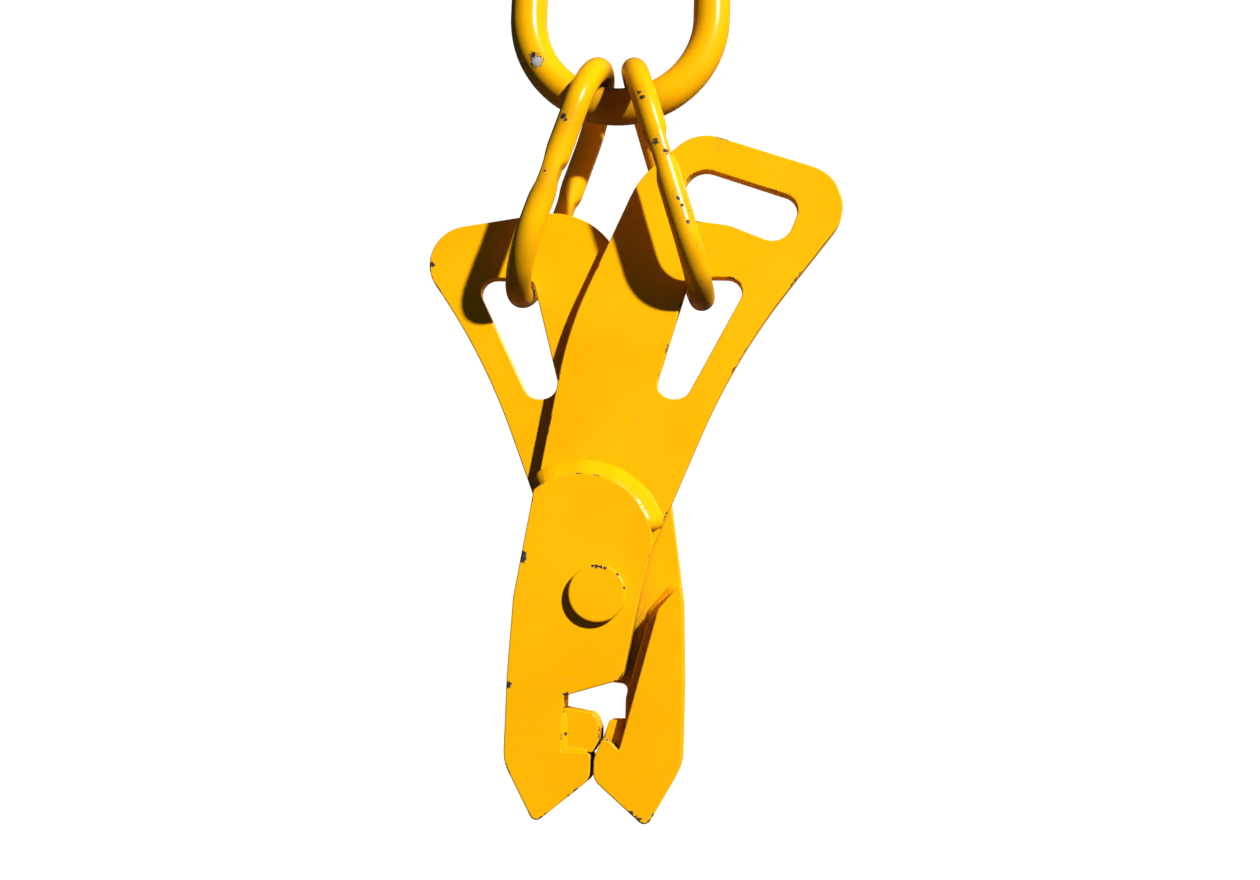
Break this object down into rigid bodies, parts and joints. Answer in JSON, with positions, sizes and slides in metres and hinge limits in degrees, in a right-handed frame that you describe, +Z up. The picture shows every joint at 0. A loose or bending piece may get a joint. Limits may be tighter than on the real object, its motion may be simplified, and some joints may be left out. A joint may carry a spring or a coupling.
{
  "type": "rail lifting tongs",
  "caption": "Scissor tongs for lifting rail: crossed plate arms on a pivot pin, toothed hook jaws and a hand hole, hung by oblong links from a master link.",
  "frame": {"origin": "inner crown of the master link, where the crane hook bears", "axes": "+Z up along the lift, -Y towards the side with the pin's head, +X towards the arm end with the hand hole"},
  "size_m": [0.4207, 0.157, 1.0485],
  "materials": {
    "yellow_paint": "gloss enamel on steel plate, chipped at the edges",
    "plated_steel": "zinc plated, dulled"
  },
  "bodies": {
    "hanger": {"master_link": "yellow_paint"},
    "pivot": {"pivot_pin": "yellow_paint", "pin_washer": "yellow_paint", "arm_spacer": "yellow_paint", "split_pin": "plated_steel"},
    "handle_arm": {"handle_arm_plate": "yellow_paint", "handle_arm_cheek": "yellow_paint", "handle_cheek_weld": "yellow_paint", "handle_jaw_tooth": "yellow_paint", "handle_tooth_weld": "yellow_paint", "handle_jaw_spacer": "yellow_paint", "handle_jaw_guard": "yellow_paint", "handle_guard_weld": "yellow_paint"},
    "plain_arm": {"plain_arm_plate": "yellow_paint", "plain_arm_cheek": "yellow_paint", "plain_cheek_weld": "yellow_paint", "plain_jaw_tooth": "yellow_paint", "plain_tooth_weld": "yellow_paint", "plain_jaw_spacer": "yellow_paint", "plain_jaw_guard": "yellow_paint", "plain_guard_weld": "yellow_paint"},
    "left_link": {"left_sub_link": "yellow_paint"},
    "right_link": {"right_sub_link": "yellow_paint"}
  },
  "joints": [
    {"name": "pivot_rise", "type": "slide", "parent": "hanger", "child": "pivot", "axis": [0, 0, 1], "range_m": [0, 0.07446]},
    {"name": "handle_arm_turn", "type": "hinge", "parent": "pivot", "child": "handle_arm", "pos_m": [0, 0, -0.79383], "axis": [0, 1, 0], "range_deg": [0, 15.01]},
    {"name": "plain_arm_turn", "type": "hinge", "parent": "pivot", "child": "plain_arm", "pos_m": [0, 0, -0.79383], "axis": [0, 1, 0], "range_deg": [-15.01, 0]},
    {"name": "right_link_swing", "type": "hinge", "parent": "hanger", "child": "right_link", "pos_m": [0.017, 0, -0.25616], "axis": [0, 1, 0], "range_deg": [-20, 0]},
    {"name": "left_link_swing", "type": "hinge", "parent": "hanger", "child": "left_link", "pos_m": [-0.017, 0, -0.25616], "axis": [0, 1, 0], "range_deg": [0, 20]}
  ],
  "couplings": [
    {"joint": "handle_arm_turn", "follows": "pivot_rise", "rad_per_m": 3.5161},
    {"joint": "plain_arm_turn", "follows": "pivot_rise", "rad_per_m": -3.5161},
    {"joint": "right_link_swing", "follows": "pivot_rise", "rad_per_m": -4.6867},
    {"joint": "left_link_swing", "follows": "pivot_rise", "rad_per_m": 4.6867}
  ]
}
